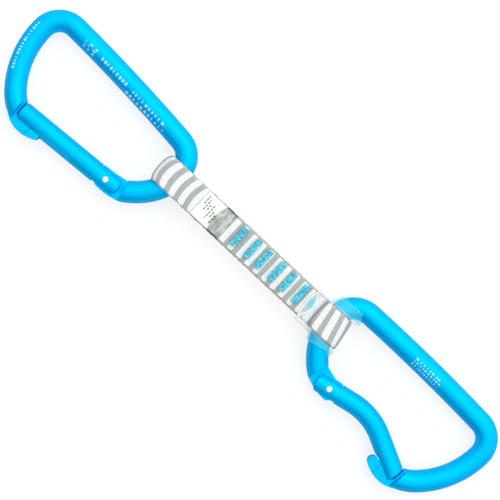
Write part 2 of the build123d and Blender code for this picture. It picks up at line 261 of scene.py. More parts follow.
class Shader:
    """A material's node tree, with short calls for the nodes used here."""

    def __init__(self, name, **settings):
        self.material = bpy.data.materials.new(name)
        self.material.use_nodes = True
        self.tree = self.material.node_tree
        self.surface = self.tree.nodes["Principled BSDF"]
        for key, value in settings.items():
            self.set(key.replace("_", " "), value)

    def join(self, value, socket):
        """Links a socket, or sets a constant."""
        if isinstance(value, bpy.types.NodeSocket):
            self.tree.links.new(value, socket)
        else:
            socket.default_value = value

    def set(self, name, value):
        """Gives the surface shader one of its inputs."""
        self.join(value, self.surface.inputs[name])

    def node(self, kind, inputs, output=0, **settings):
        """A node with its inputs by name or number; returns one of its outputs."""
        made = self.tree.nodes.new("ShaderNode" + kind)
        for key, value in settings.items():
            setattr(made, key, value)
        for key, value in inputs.items():
            self.join(value, made.inputs[key])
        return made.outputs[output]

    def math(self, operation, first, second=0.0, third=0.0):
        """One arithmetic step."""
        return self.node("Math", {0: first, 1: second, 2: third}, operation=operation)

    def ramp(self, value, low, high):
        """0 before low and 1 after high, smooth between."""
        inputs = {"Value": value, "From Min": low, "From Max": high}
        return self.node("MapRange", inputs, interpolation_type="SMOOTHSTEP")

    def between(self, value, low, high, soft):
        """1 between low and high, fading to 0 over soft on each side."""
        rise = self.ramp(value, low - soft, low + soft)
        fall = self.ramp(value, high + soft, high - soft)
        return self.math("MULTIPLY", rise, fall)

    def length(self, x, y):
        """The length of a vector with these two parts."""
        vector = self.node("CombineXYZ", {0: x, 1: y})
        return self.node("VectorMath", {0: vector}, output=1, operation="LENGTH")

    def mix(self, factor, first, second):
        """Between two colours."""
        return self.node("Mix", {0: factor, 6: first, 7: second}, output=2, data_type="RGBA")

    def noise(self, place, scale, detail=2.0):
        """Soft noise from 0 to 1; scale is in cells per metre."""
        return self.node("TexNoise", {"Vector": place, "Scale": scale, "Detail": detail})

    def place(self):
        """The point on the piece, in metres."""
        return self.node("TexCoord", {}, output=3)

    def stretched(self, place, scale):
        """The point scaled by a different number along each axis."""
        return self.node("Mapping", {"Vector": place, "Scale": scale})

    def in_frame(self, matrix):
        """The point's x, y and z in a frame, in millimetres."""
        inputs = {
            "Vector": self.place(),
            "Location": matrix.to_translation(),
            "Rotation": matrix.to_euler(),
            "Scale": (MM, MM, MM),
        }
        local = self.node("Mapping", inputs, vector_type="TEXTURE")
        split = self.tree.nodes.new("ShaderNodeSeparateXYZ")
        self.tree.links.new(local, split.inputs[0])
        return split.outputs[0], split.outputs[1], split.outputs[2]

    def attribute(self, name):
        """A vertex number made by add_attribute."""
        return self.node("Attribute", {}, output=2, attribute_name=name)

    def bump(self, height, distance, strength=1.0):
        """Fine relief; distance is in metres."""
        inputs = {"Height": height, "Distance": distance, "Strength": strength}
        self.set("Normal", self.node("Bump", inputs))


def colour(red, green, blue):
    """An opaque colour from linear parts."""
    return (red, green, blue, 1.0)


ANODISED_DEEP = colour(0.0, 0.42, 0.82)
ANODISED = colour(0.0, 0.51, 0.93)
ANODISED_EDGE = colour(0.0, 0.06, 0.18)
ANODISED_METALLIC = 0.6
ETCHED = colour(0.40, 0.86, 0.96)
WEB_WHITE = colour(0.90, 0.93, 0.91)
WEB_GREY = colour(0.43, 0.47, 0.45)
# dark grey of the selvedges, also used for painted shade at the folds and beside the keeper's band
WEB_EDGE_AND_SHADE = colour(0.17, 0.19, 0.18)
WEB_FUSED = colour(0.36, 0.40, 0.36)
WEB_ASH = colour(0.72, 0.77, 0.70)
WEB_BURNT = colour(0.05, 0.05, 0.05)
THREAD_DARK = colour(0.02, 0.28, 0.44)
THREAD_BRIGHT = colour(0.10, 0.72, 0.84)
LABEL_WHITE = colour(0.95, 0.95, 0.94)
# print ink, also used for painted shadow lines along the label's edges
LABEL_INK_AND_SHADE = colour(0.09, 0.10, 0.10)
RUBBER_THIN = colour(0.86, 0.92, 0.94)
RUBBER_PALE = colour(0.95, 0.98, 0.98)
RUBBER_ON_BAR = colour(0.03, 0.80, 0.92)
# painted reflection: the cyan spot in the keeper's clear window
RUBBER_WINDOW_REFLECTION = colour(0.22, 0.72, 0.88)
# painted shadow line along the keeper band's far edge
RUBBER_EDGE_SHADOW = colour(0.20, 0.22, 0.22)
FLOOR_DARK = colour(0.26, 0.26, 0.255)
FLOOR_PALE = colour(0.28, 0.28, 0.28)
FLOOR_GLOW = colour(1.0, 1.0, 0.99)
FLOOR_GLOW_STRENGTH = 0.72


def worn_metal(shader, place, clean, rough, grain):
    """Satin metal: faint tumbling texture, fine scratches and uneven sheen."""
    cloud = shader.noise(place, 90.0, 3.0)
    fine = shader.noise(place, grain, 2.0)
    streaks = shader.noise(shader.stretched(place, (350.0, 2600.0, 900.0)), 1.0, 1.0)
    scratch = shader.ramp(streaks, 0.69, 0.74)
    unevenness = shader.math("MULTIPLY_ADD", cloud, 0.10, rough - 0.05)
    shader.set("Base Color", clean)
    shader.set("Roughness", shader.math("MULTIPLY_ADD", scratch, 0.10, unevenness))
    relief = shader.math("MULTIPLY_ADD", scratch, -0.4, fine)
    shader.bump(relief, 0.00002, 0.35)
    return cloud


def dash_rows(shader, along, across, rows, pitch):
    """Rows of short etched dashes of uneven length: plain marks that say nothing."""
    found = 0.0
    for number, (low, high, start, end) in enumerate(rows):
        cells = shader.math("DIVIDE", along, pitch * (1.0 + 0.13 * number))
        cell = shader.math("FLOOR", cells)
        part = shader.math("FRACT", cells)
        seed = shader.node("CombineXYZ", {0: cell, 1: float(number)})
        chance = shader.node("TexWhiteNoise", {"Vector": seed}, noise_dimensions="3D")
        length = shader.math("MULTIPLY_ADD", chance, 0.55, 0.3)
        before_end = shader.math("SUBTRACT", length, 0.08)
        start_edge = shader.ramp(part, 0.08, 0.14)
        dash = shader.math("MULTIPLY", start_edge, shader.ramp(part, length, before_end))
        row = shader.math("MULTIPLY", dash, shader.between(across, low, high, 0.06))
        row = shader.math("MULTIPLY", row, shader.between(along, start, end, 0.1))
        found = shader.math("MAXIMUM", found, row)
    return found


def etched_basket(shader, x, y):
    """The marks that follow the far basket's curve, on the outer half of the bar."""
    from_x = shader.math("SUBTRACT", x, BASKET_CENTRE[0] - SWING_X)
    from_y = shader.math("SUBTRACT", y, BASKET_CENTRE[1])
    squares = shader.math("MULTIPLY_ADD", from_x, from_x, shader.math("MULTIPLY", from_y, from_y))
    radius = shader.math("SQRT", squares)
    angle = shader.math("ARCTAN2", from_y, shader.math("MULTIPLY", from_x, -1.0))
    along = shader.math("MULTIPLY", angle, BASKET_R)
    return dash_rows(shader, along, radius, [(43.4, 44.6, -26.3, -1.0)], 1.7)


def anodised(name, matrix, seat_y, marks, top):
    """Cyan anodised aluminium, with etched marks on the top face where the carabiner has them."""
    shader = Shader(name, Metallic=ANODISED_METALLIC, IOR=1.5, Specular_Tint=ANODISED_EDGE)
    place = shader.place()
    shader.set("Specular IOR Level", 0.12)
    cloud = worn_metal(shader, place, ANODISED, 0.46, 3800.0)
    clean = shader.mix(cloud, ANODISED_DEEP, ANODISED)
    if marks:
        x, y, z = shader.in_frame(matrix)
        found = marks(shader, x, shader.math("ADD", y, seat_y))
        on_top = shader.ramp(shader.math("MULTIPLY", z, top), -0.5, 0.5)
        found = shader.math("MULTIPLY", found, on_top)
        clean = shader.mix(shader.math("MULTIPLY", found, 0.85), clean, ETCHED)
        shader.set("Metallic", shader.math("MULTIPLY_ADD", found, -0.4, ANODISED_METALLIC))
    shader.set("Base Color", clean)
    return shader.material


def upper_marks(shader, x, y):
    """Three rows and a hatched block on the spine, and one row round the basket."""
    rows = [(18.8, 20.3, -61.0, -44.0), (18.8, 20.1, -40.0, -19.0), (16.7, 17.8, -44.0, -18.5)]
    rows += [(low, low + 0.7, -71.0, -64.0) for low in (17.3, 18.6, 19.9)]
    return shader.math("MAXIMUM", dash_rows(shader, x, y, rows, 1.9), etched_basket(shader, x, y))


def lower_marks(shader, x, y):
    """A hatched block on the spine."""
    rows = [(low, low + 0.8, -54.0, -38.0) for low in (17.6, 19.1, 20.6)]
    return dash_rows(shader, x, y, rows, 1.5)


def steel(name, tint, rough):
    """Bright steel with turning marks."""
    shader = Shader(name, Metallic=1.0)
    worn_metal(shader, shader.place(), colour(*tint), rough, 6000.0)
    return shader.material


def webbing_material():
    """Tight tubular weave with printed cross bands, grey edges, a heat-fused end, and painted shade at
    the folds' outer turns and beside the keeper's band.
    """
    shader = Shader("webbing_weave", Roughness=0.82)
    along = shader.attribute("along")
    across = shader.attribute("across")
    band = shader.attribute("band")
    fused = shader.attribute("fused")
    place = shader.place()

    rib = shader.math("SINE", shader.math("MULTIPLY", along, 2 * math.pi / 0.62))
    yarn = shader.math("SINE", shader.math("MULTIPLY", across, 2 * math.pi / 0.55))
    fuzz = shader.noise(place, 2600.0, 3.0)
    cloud = shader.noise(place, 260.0, 3.0)
    weave = shader.math("MULTIPLY", rib, yarn)

    ragged = shader.math("MULTIPLY_ADD", fuzz, 0.10, shader.math("ADD", band, -0.05))
    from_middle = shader.math("ABSOLUTE", shader.math("SUBTRACT", shader.math("FRACT", ragged), 0.5))
    width = shader.math("ABSOLUTE", across)
    worn_width = shader.math("MULTIPLY_ADD", cloud, 0.7, width)
    past = shader.math("MULTIPLY_ADD", from_middle, BAND_LAP_PITCH, -BAND_CORE_HALF)
    past = shader.math("MAXIMUM", past, 0.0)
    aside = shader.math("MAXIMUM", shader.math("SUBTRACT", worn_width, BAND_CORE_WIDTH), 0.0)
    white = shader.ramp(shader.length(past, aside), *BAND_ROUND)
    base = shader.mix(white, WEB_GREY, WEB_WHITE)
    selvedge = shader.math("MULTIPLY", shader.ramp(width, 6.75, 7.05), 0.55)
    base = shader.mix(selvedge, base, WEB_EDGE_AND_SHADE)
    ash = shader.noise(shader.stretched(place, (900.0, 300.0, 300.0)), 1.0, 3.0)
    ash = shader.ramp(ash, 0.35, 0.68)
    base = shader.mix(fused, base, shader.mix(ash, WEB_FUSED, WEB_ASH))
    burnt = shader.math("MULTIPLY", fused, shader.ramp(width, 5.9, 6.8))
    base = shader.mix(burnt, base, WEB_BURNT)
    # painted shade: darker at the outer turn of each fold and in a line beside the keeper's band, where
    # shadow falls
    base = shader.mix(shader.attribute("painted_shade"), base, WEB_EDGE_AND_SHADE)
    speck = shader.ramp(shader.noise(place, 1400.0, 1.0), 0.35, 0.65)
    shade = shader.math("MULTIPLY_ADD", fuzz, 0.20, 0.79)
    shade = shader.math("MULTIPLY_ADD", weave, 0.06, shade)
    shade = shader.math("MULTIPLY_ADD", speck, 0.12, shade)
    tint = shader.node("CombineColor", {0: shade, 1: shade, 2: shade})
    base = shader.node(
        "Mix", {0: 1.0, 6: base, 7: tint}, output=2, data_type="RGBA", blend_type="MULTIPLY"
    )
    shader.set("Base Color", base)
    shader.set("Sheen Weight", 0.35)
    shader.set("Sheen Roughness", 0.45)
    height = shader.math("MULTIPLY_ADD", fuzz, 0.5, weave)
    height = shader.math("MULTIPLY_ADD", rib, shader.math("MULTIPLY", fused, 1.5), height)
    shader.bump(height, 0.00012, 0.8)
    return shader.material


def thread_material():
    """Polyester thread: cyan-teal with fine twist, darker in random patches."""
    shader = Shader("tack_thread", Roughness=0.55)
    place = shader.place()
    tone = shader.noise(place, 900.0, 2.0)
    fibre = shader.noise(shader.stretched(place, (5200.0, 1800.0, 5200.0)), 1.0, 2.0)
    tone = shader.ramp(tone, 0.3, 0.7)
    shader.set("Base Color", shader.mix(tone, THREAD_DARK, THREAD_BRIGHT))
    shader.set("Sheen Weight", 0.4)
    shader.bump(fibre, 0.00006, 0.7)
    return shader.material


# Printed bars on the label: where each starts along it, and from where to where it runs across
LABEL_BARS = (
    (1.6, 0.6, 5.2), (3.0, -1.4, 4.2), (4.4, -0.4, 2.4),
    (5.9, -3.8, 3.6), (7.4, -2.0, 1.6), (8.8, -4.6, 0.6),
)


def label_material():
    """Smooth white satin tape with plain grey printed bars that say nothing, and painted shadow lines
    along its long edges and its outer end.
    """
    shader = Shader("label_satin", Roughness=0.6)
    x = shader.attribute("label_x")
    y = shader.attribute("label_y")
    found = 0.0
    for start, low, high in LABEL_BARS:
        dash = shader.math("FRACT", shader.math("MULTIPLY_ADD", y, 0.62, start))
        bar = shader.between(x, start, start + 0.7, 0.08)
        bar = shader.math("MULTIPLY", bar, shader.between(y, low, high, 0.15))
        bar = shader.math("MULTIPLY", bar, shader.ramp(dash, 0.20, 0.30))
        found = shader.math("MAXIMUM", found, bar)
    # painted shadow lines along the long edges and the outer end, at half the ink's strength
    label_edge_shade = shader.ramp(shader.math("ABSOLUTE", y), 6.45, 6.65)
    label_edge_shade = shader.math("MAXIMUM", label_edge_shade, shader.ramp(x, 0.35, 0.15))
    fuzz = shader.noise(shader.place(), 3000.0, 2.0)
    ink_and_edge_shade = shader.math("MULTIPLY", found, shader.math("MULTIPLY_ADD", fuzz, 0.6, 0.62))
    ink_and_edge_shade = shader.math("MAXIMUM", ink_and_edge_shade, shader.math("MULTIPLY", label_edge_shade, 0.5))
    shader.set("Base Color", shader.mix(ink_and_edge_shade, LABEL_WHITE, LABEL_INK_AND_SHADE))
    weave = shader.math("SINE", shader.math("MULTIPLY", y, 2 * math.pi / 0.35))
    shader.set("Sheen Weight", 0.25)
    shader.bump(shader.math("MULTIPLY_ADD", fuzz, 0.6, weave), 0.00003, 0.6)
    return shader.material


def rubber_material():
    """Clear moulded rubber: milky on the band, cyan over the bar, denser on its rims and ribs, with a
    painted reflection in the clear window and a painted shadow line along the band's far edge.
    """
    shader = Shader("clear_rubber", Roughness=0.18, IOR=1.45)
    cloud = shader.noise(shader.place(), 500.0, 2.0)
    rim = shader.attribute("rim")
    band_edge_shadow = shader.attribute("band_edge_shadow")
    sleeve = shader.attribute("sleeve")
    window = shader.attribute("window")
    milky = shader.mix(cloud, RUBBER_THIN, RUBBER_PALE)
    clear = shader.mix(sleeve, milky, RUBBER_ON_BAR)
    # painted reflection: a cyan spot in the clear window
    clear = shader.mix(window, clear, RUBBER_WINDOW_REFLECTION)
    clear = shader.mix(rim, clear, RUBBER_THIN)
    # painted shadow line along the band's far edge, darker and denser
    shader.set("Base Color", shader.mix(band_edge_shadow, clear, RUBBER_EDGE_SHADOW))
    density = shader.math("MULTIPLY_ADD", sleeve, 0.12, 0.24)
    density = shader.math("MULTIPLY_ADD", window, 0.30, density)
    density = shader.math("MULTIPLY_ADD", band_edge_shadow, 0.30, density)
    shader.set("Alpha", shader.math("MULTIPLY_ADD", rim, 0.34, density))
    shader.bump(cloud, 0.00006, 0.5)
    return shader.material


# ---------------------------------------------------------------- sling webbing

def line_points(start, end, step):
    """Even points along a straight run, without its end."""
    count = max(1, round((end - start).length / step))
    return [start.lerp(end, number / count) for number in range(count)]


def arc_points(centre, radius, start_angle, turn, step):
    """Even points along an arc, without its end; the turn is positive anticlockwise."""
    count = max(1, round(abs(turn) * radius / step))
    angles = [start_angle + turn * number / count for number in range(count)]
    return [centre + radius * Vector((math.cos(a), math.sin(a))) for a in angles]


def eye_path(centre, radius, arrive, leave, step):
    """From one point clockwise round an eye to another, with a straight run at each end."""
    def touch(point, sign):
        away = point - centre
        return math.atan2(away.y, away.x) + sign * math.acos(radius / away.length)

    first = touch(arrive, -1)
    last = touch(leave, 1)
    start = centre + radius * Vector((math.cos(first), math.sin(first)))
    end = centre + radius * Vector((math.cos(last), math.sin(last)))
    turn = (last - first) % (2 * math.pi) - 2 * math.pi
    return (
        line_points(arrive, start, step)
        + arc_points(centre, radius, first, turn, step)
        + line_points(end, leave, step)
    )


LOWER_EYE = Vector((FOLD_LOWER - EYE_R - WEB_THICK, BAR_Z))
UPPER_EYE = Vector((FOLD_UPPER + EYE_R + WEB_THICK, BAR_Z))
TOP_LAYER = BAR_Z + 1.5 * WEB_THICK
MIDDLE_LAYER = BAR_Z + 0.5 * WEB_THICK
BOTTOM_LAYER = BAR_Z - 0.5 * WEB_THICK
MID_R = EYE_R + WEB_THICK / 2


def strip_path():
    """The strip's middle line in x and z, from the lap's end to the end hidden under it."""
    lap_end = Vector((LAP_END, TOP_LAYER))
    top = Vector((SEW_END, TOP_LAYER))
    bottom_right = Vector((SEW_END, BOTTOM_LAYER))
    bottom_left = Vector((SEW_START, BOTTOM_LAYER))
    middle = Vector((SEW_START, MIDDLE_LAYER))
    hidden_end = Vector((HIDDEN_END, MIDDLE_LAYER))
    path = line_points(lap_end, top, STATION)
    path += eye_path(LOWER_EYE, MID_R, top, bottom_right, STATION)
    path += line_points(bottom_right, bottom_left, STATION)
    path += eye_path(UPPER_EYE, MID_R, bottom_left, middle, STATION)
    path += line_points(middle, hidden_end, STATION)
    path.append(hidden_end)
    return path


def smooth_path(path, passes):
    """Rounds the path's small corners and leaves its ends."""
    for _ in range(passes):
        inner = [(path[i - 1] + 2 * path[i] + path[i + 1]) / 4 for i in range(1, len(path) - 1)]
        path = [path[0]] + inner + [path[-1]]
    return path


def strip_section():
    """The strip's cross-section as (across, height) points: flat faces and round selvedges."""
    half = WEB_LAYER / 2
    flat = HALF_WIDTH - half
    top = [(-flat + 2 * flat * i / FACE_STEPS, half) for i in range(FACE_STEPS + 1)]
    right = []
    for i in range(1, SELVEDGE_STEPS):
        angle = math.pi / 2 - math.pi * i / SELVEDGE_STEPS
        right.append((flat + half * math.cos(angle), half * math.sin(angle)))
    bottom = [(-a, -h) for a, h in top]
    left = [(-a, -h) for a, h in right]
    return top + right + bottom + left


class Bar:
    """How far a carabiner's bar reaches from its swing axis, at each place along the axis."""

    def __init__(self, node, matrix):
        mesh = frame["nodes"][node].data
        points = [vertex.co for vertex in mesh.vertices]
        faces = [polygon.vertices for polygon in mesh.polygons]
        self.tree = BVHTree.FromPolygons(points, faces)
        self.matrix = matrix
        self.inverse = matrix.inverted()
        self.found = {}

    def reach(self, along):
        """The swept radius at a place along the axis, in millimetres."""
        key = round(along, 1)
        if key not in self.found:
            start = self.matrix @ (Vector((0, key, 0)) * MM)
            x_axis = self.matrix.to_3x3() @ Vector((1, 0, 0))
            lengths = [self.tree.ray_cast(start, way * x_axis)[3] or 0.0 for way in (1, -1)]
            self.found[key] = max(lengths) / MM
        return self.found[key]

    def clear(self, point, depth):
        """Moves a point out of the room that the swinging bar takes; depth is 0 inside, 1 outside."""
        local = (self.inverse @ to_object(point)) / MM
        radius = math.hypot(local.x, local.z)
        needed = self.reach(local.y) + SWING_ROOM + PRESSED_LAYER * depth
        if radius >= needed or radius < 0.01:
            return point
        grown = Vector((local.x * needed / radius, local.y, local.z * needed / radius))
        return (self.matrix @ (grown * MM)) / MM - MOVE


def squeeze(x, y):
    """How far the keeper's band presses a run of the lower eye towards the middle."""
    bowed = x + BAND_BOW * (1 - (y / HALF_WIDTH) ** 2)
    return BAND_PRESS * smooth_step(*PRESS_RISE, bowed) * smooth_step(*PRESS_FALL, bowed)


def lower_slant(x, y):
    """How the lower fold leans with the bar: forward on the gate's side."""
    return -LOWER_SLANT * (y - 1.0) * smooth_step(*LOWER_SLANT_RISE, x)


def band_shift(x, y, on_eye):
    """How far a printed band lies off straight, in millimetres along the strip."""
    if on_eye:
        return 1.3 * (y / 7.0) ** 2 * smooth_step(-20.0, -32.0, x)
    return -0.13 * y * smooth_step(34.0, 44.0, x)


def painted_fold_shade(middle, normal, height, y):
    """How much painted shade the strip gets: at the outermost turn of each fold, and a painted shadow
    line beside the keeper's band.
    """
    turned = smooth_step(0.80, 0.98, abs(normal.x)) if height > 0 else 0.0
    bowed = middle.x + BAND_BOW * (1 - (y / HALF_WIDTH) ** 2)
    beside = math.exp(-((bowed - 42.3) / 0.45) ** 2)
    return min(1.0, 0.75 * turned + 0.8 * beside)


def path_lengths(path):
    """The length along the path up to each of its points."""
    lengths = [0.0]
    for before, after in zip(path, path[1:]):
        lengths.append(lengths[-1] + (after - before).length)
    return lengths


class Bands:
    """The printed bands: two white ones have known places, and between their runs they spread evenly."""

    def __init__(self, path, lengths):
        half = lengths[-1] / 2
        over_eye = [i for i in range(len(path)) if path[i].y > BAR_Z and lengths[i] > half]
        nearest = min(over_eye, key=lambda i: abs(path[i].x - BAND_EYE_X))
        self.lap_place = BAND_LAP_X - LAP_END
        self.eye_place = lengths[nearest]
        self.lap_finish = self.lap_place + LAP_BANDS * BAND_LAP_PITCH
        self.eye_start = self.eye_place - EYE_BANDS * BAND_EYE_PITCH
        self.spare = round((self.eye_start - self.lap_finish) / BAND_LAP_PITCH)

    def count(self, place):
        """How many bands lie between the lap's known band and a place along the strip."""
        if place < self.lap_finish:
            return (place - self.lap_place) / BAND_LAP_PITCH
        if place < self.eye_start:
            share = (place - self.lap_finish) / (self.eye_start - self.lap_finish)
            return LAP_BANDS + self.spare * share
        return LAP_BANDS + self.spare + EYE_BANDS + (place - self.eye_place) / BAND_EYE_PITCH


def tack_centres():
    """The middle of each bar tack, in sling coordinates."""
    centres = []
    for number in range(1, TACK_COUNT + 1):
        low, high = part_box(f"bar_tack_{number}")
        centres.append((low + high) / 2 / MM - MOVE)
    return centres


def edge_wave(place):
    """How far the selvedges wander at a place along the strip."""
    return 0.10 * math.sin(place * 0.9) + 0.07 * math.sin(place * 2.3 + 1.0)


def surface_lift(middle, place, side, y, height, tacks):
    """How far the strip's surface stands off its middle line: crowned, and dented at each tack."""
    worn_end = 1.0 - 0.35 * smooth_step(1.2, 0.0, place)
    crown = CROWN * (1 - (side / HALF_WIDTH) ** 2)
    lift = height * worn_end + (crown if height > 0 else -crown * 0.3)
    if abs(middle.y - TOP_LAYER) < 0.05 and height > 0:
        for tack in tacks:
            near = math.exp(-((middle.x - tack.x) / TACK_REACH) ** 2)
            lift -= TACK_DENT * near * smooth_step(*TACK_SIDE, abs(y - tack.y))
    return lift


def settled(point, middle, place, y, height, bars):
    """Where a point of the strip lies: it leans at the folds and stays clear of the bars and floor."""
    if middle.x < SEW_START:
        corner = abs(y / HALF_WIDTH) ** 3
        point.x += UPPER_CORNER_LEAN * corner * smooth_step(*UPPER_CORNER_RISE, middle.x)
    if middle.x > SEW_END:
        point.x += lower_slant(middle.x, y)
        point.z -= squeeze(middle.x, y) * (1 if middle.y > BAR_Z else -1)
    lap_end = smooth_step(7.0, 0.0, place)
    point.x -= LAP_BOW * lap_end * (1 - (y / HALF_WIDTH) ** 2)
    point.z += LAP_SLOPE * max(0.0, SEW_START - point.x) * smooth_step(9.0, 3.0, place)
    if middle.x > SEW_END or middle.x < SEW_START - 6:
        bar = bars[1] if middle.x > 0 else bars[0]
        point = bar.clear(point, height / WEB_LAYER + 0.5)
    point.z = max(point.z, FLOOR_GAP)
    return point


def webbing():
    """The sling's one strip, looped round both bars and lapped on itself; returns its middle line."""
    path = smooth_path(strip_path(), SMOOTH_PASSES)
    lengths = path_lengths(path)
    section = strip_section()
    bars = (Bar("upper_body", UPPER), Bar("lower_body", LOWER))
    tacks = tack_centres()
    bands = Bands(path, lengths)
    vertices, along, across, band, fused, painted_shade = [], [], [], [], [], []
    for number, middle in enumerate(path):
        before = path[max(number - 1, 0)]
        after = path[min(number + 1, len(path) - 1)]
        way = (after - before).normalized()
        normal = Vector((-way.y, way.x))
        place = lengths[number]
        on_eye = place > bands.eye_start
        looped = max(smooth_step(38.0, 43.0, middle.x), smooth_step(-27.0, -34.0, middle.x))
        for side, height in section:
            y = side + edge_wave(place) * (side / HALF_WIDTH)
            lift = surface_lift(middle, place, side, y, height, tacks)
            point = Vector((middle.x + normal.x * lift, y, middle.y + normal.y * lift))
            vertices.append(settled(point, middle, place, y, height, bars))
            along.append(place)
            across.append(y * (1 - 0.07 * looped))
            band.append(bands.count(place - band_shift(middle.x, y, on_eye)) + 0.5)
            fused.append(smooth_step(*FUSED_FADE, place))
            # painted shade at the folds' outer turns and beside the keeper's band
            painted_shade.append(painted_fold_shade(middle, normal, height, y))
    count = len(section)
    faces = grid_faces(len(path), count, True)
    faces.append(tuple(range(count)))
    faces.append(tuple(reversed(range(len(vertices) - count, len(vertices)))))
    piece = mesh_piece("webbing_strip", vertices, faces)
    numbers = {"along": along, "across": across, "band": band, "fused": fused, "painted_shade": painted_shade}
    for name, values in numbers.items():
        add_attribute(piece, name, values)
    piece.data.materials.append(webbing_material())
    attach(piece, "sling")
    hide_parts("sling_webbing")
    return path


# ---------------------------------------------------------------- threads, label and keeper

def tube(points, radius, sides):
    """Vertices and faces of a round thread along points, closed at both ends."""
    vertices = []
    for number, point in enumerate(points):
        before = points[max(number - 1, 0)]
        after = points[min(number + 1, len(points) - 1)]
        way = (after - before).normalized()
        first = way.cross(Vector((0, 0, 1)))
        if first.length < 0.1:
            first = way.cross(Vector((0, 1, 0)))
        first.normalize()
        second = way.cross(first)
        for side in range(sides):
            angle = 2 * math.pi * side / sides
            vertices.append(point + radius * (math.cos(angle) * first + math.sin(angle) * second))
    faces = grid_faces(len(points), sides, True)
    faces.append(tuple(range(sides)))
    faces.append(tuple(reversed(range(len(vertices) - sides, len(vertices)))))
    return vertices, faces


def zigzag(centre, half_length, half_width, level, sign, ragged):
    """The path of one run of satin stitches: across the tack, over a slight crown, and back."""
    points = []
    rows = int(2 * half_width / STITCH_PITCH)
    for row in range(rows):
        low_y = centre.y - half_width + (row + 0.5) * 2 * half_width / rows
        way = 1 if row % 2 == 0 else -1
        uneven = ragged * math.sin(row * 2.4) + 0.10 * math.sin(row * 5.1 + centre.x)
        for step in range(STITCH_STEPS + 1):
            share = step / STITCH_STEPS * 2 - 1
            x = centre.x + way * share * (half_length + uneven)
            y = low_y + (step / STITCH_STEPS - 0.5) * STITCH_PITCH
            crown = STITCH_CROWN * (1 - share ** 2) - STITCH_DROP * abs(share) ** 6
            points.append(Vector((x, y, level + sign * crown)))
    return points


def bar_tack(number):
    """One bar tack: padding stitches along it, with satin stitches over them on both faces."""
    low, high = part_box(f"bar_tack_{number}")
    centre = (low + high) / 2 / MM - MOVE
    half_length = (high.x - low.x) / 2 / MM - THREAD_R
    half_width = (high.y - low.y) / 2 / MM
    vertices, faces = [], []

    def add(points, radius):
        more, more_faces = tube(points, radius, 8)
        offset = len(vertices)
        vertices.extend(more)
        faces.extend(tuple(index + offset for index in face) for face in more_faces)

    ragged = RAGGED_FIRST if number == 1 else RAGGED
    middle_lane = (PADDING_LANES - 1) / 2
    for sign, level in ((1, high.z / MM - STITCH_DEPTH), (-1, low.z / MM + STITCH_DEPTH)):
        add(zigzag(centre, half_length, half_width, level, sign, ragged), THREAD_R)
        for lane in range(PADDING_LANES):
            x = centre.x + (lane - middle_lane) / middle_lane * (half_length - 0.2)
            padding = [
                Vector((x, centre.y + (step / 8 * 2 - 1) * (half_width - 0.3), level - sign * 0.10))
                for step in range(9)
            ]
            add(padding, PADDING_R)
    piece = mesh_piece(f"tack_stitches_{number}", vertices, faces)
    piece.data.materials.append(materials["thread"])
    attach(piece, "sling")
    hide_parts(f"bar_tack_{number}")


def sheet_faces(rows, columns):
    """Faces of a closed sheet of two layers: the upper, the lower and the band round their edges."""
    count = rows * columns
    layer = grid_faces(rows, columns, False)
    faces = [tuple(i + count for i in face) for face in layer]
    faces += [tuple(reversed(face)) for face in layer]
    ring = list(range(columns))
    ring += [r * columns + columns - 1 for r in range(1, rows)]
    ring += [(rows - 1) * columns + c for c in range(columns - 2, -1, -1)]
    ring += [r * columns for r in range(rows - 2, 0, -1)]
    for number, index in enumerate(ring):
        after = ring[(number + 1) % len(ring)]
        faces.append((index, after, after + count, index + count))
    return faces


def label(path):
    """The sewn label, which lies on the eye's top run against the lap's end."""
    half_path = len(path) // 2
    run = [p for p in path[half_path:] if p.y > BAR_Z and LABEL_X[0] - 1 < p.x < LABEL_X[1] + 1]
    lift = WEB_LAYER / 2 + LABEL_GAP
    last_row = LABEL_ROWS - 1
    last_column = LABEL_COLUMNS - 1
    vertices, x_values, y_values = [], [], []
    for layer in (0, 1):
        for row in range(LABEL_ROWS):
            x = LABEL_X[0] + (LABEL_X[1] - LABEL_X[0]) * row / last_row
            nearest = min(range(1, len(run)), key=lambda i: abs(run[i].x - x))
            before, after = run[nearest - 1], run[nearest]
            way = (after - before).normalized()
            z = before.y + (x - before.x) * way.y / way.x + lift
            for column in range(LABEL_COLUMNS):
                share = column / last_column * 2 - 1
                edge = max(abs(share), abs(row / last_row * 2 - 1))
                y = share * LABEL_WIDTH / 2
                soft = 0.12 * smooth_step(0.9, 1.0, edge)
                curl = 0.05 * math.sin(row * 0.7 + column * 0.35)
                height = z + layer * (LABEL_THICK - soft) + curl
                vertices.append(Vector((x, y, height)))
                x_values.append(x - LABEL_X[0])
                y_values.append(y)
    piece = mesh_piece("label_tape", vertices, sheet_faces(LABEL_ROWS, LABEL_COLUMNS))
    add_attribute(piece, "label_x", x_values)
    add_attribute(piece, "label_y", y_values)
    fix_normals(piece)
    piece.data.materials.append(label_material())
    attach(piece, "sling")
    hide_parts("sling_label")


def fix_normals(piece):
    """Turns every face outwards."""
    made = bmesh.new()
    made.from_mesh(piece.data)
    bmesh.ops.recalc_face_normals(made, faces=made.faces)
    made.to_mesh(piece.data)
    made.free()


def lens_end(y):
    """Where the keeper's clear window ends along the sling: its far rim is an arc."""
    return BAND_START + WINDOW_DEPTH * (1 - (y / WINDOW_HALF) ** 2)


def in_window(x, y):
    """1 inside the keeper's clear window, between its two rims, and 0 outside."""
    end = lens_end(y)
    share = smooth_step(BAND_START + 0.7, BAND_START + 1.3, x)
    share *= smooth_step(end - 0.2, end - 0.8, x)
    return share * smooth_step(4.2, 1.8, abs(y - 1.6))


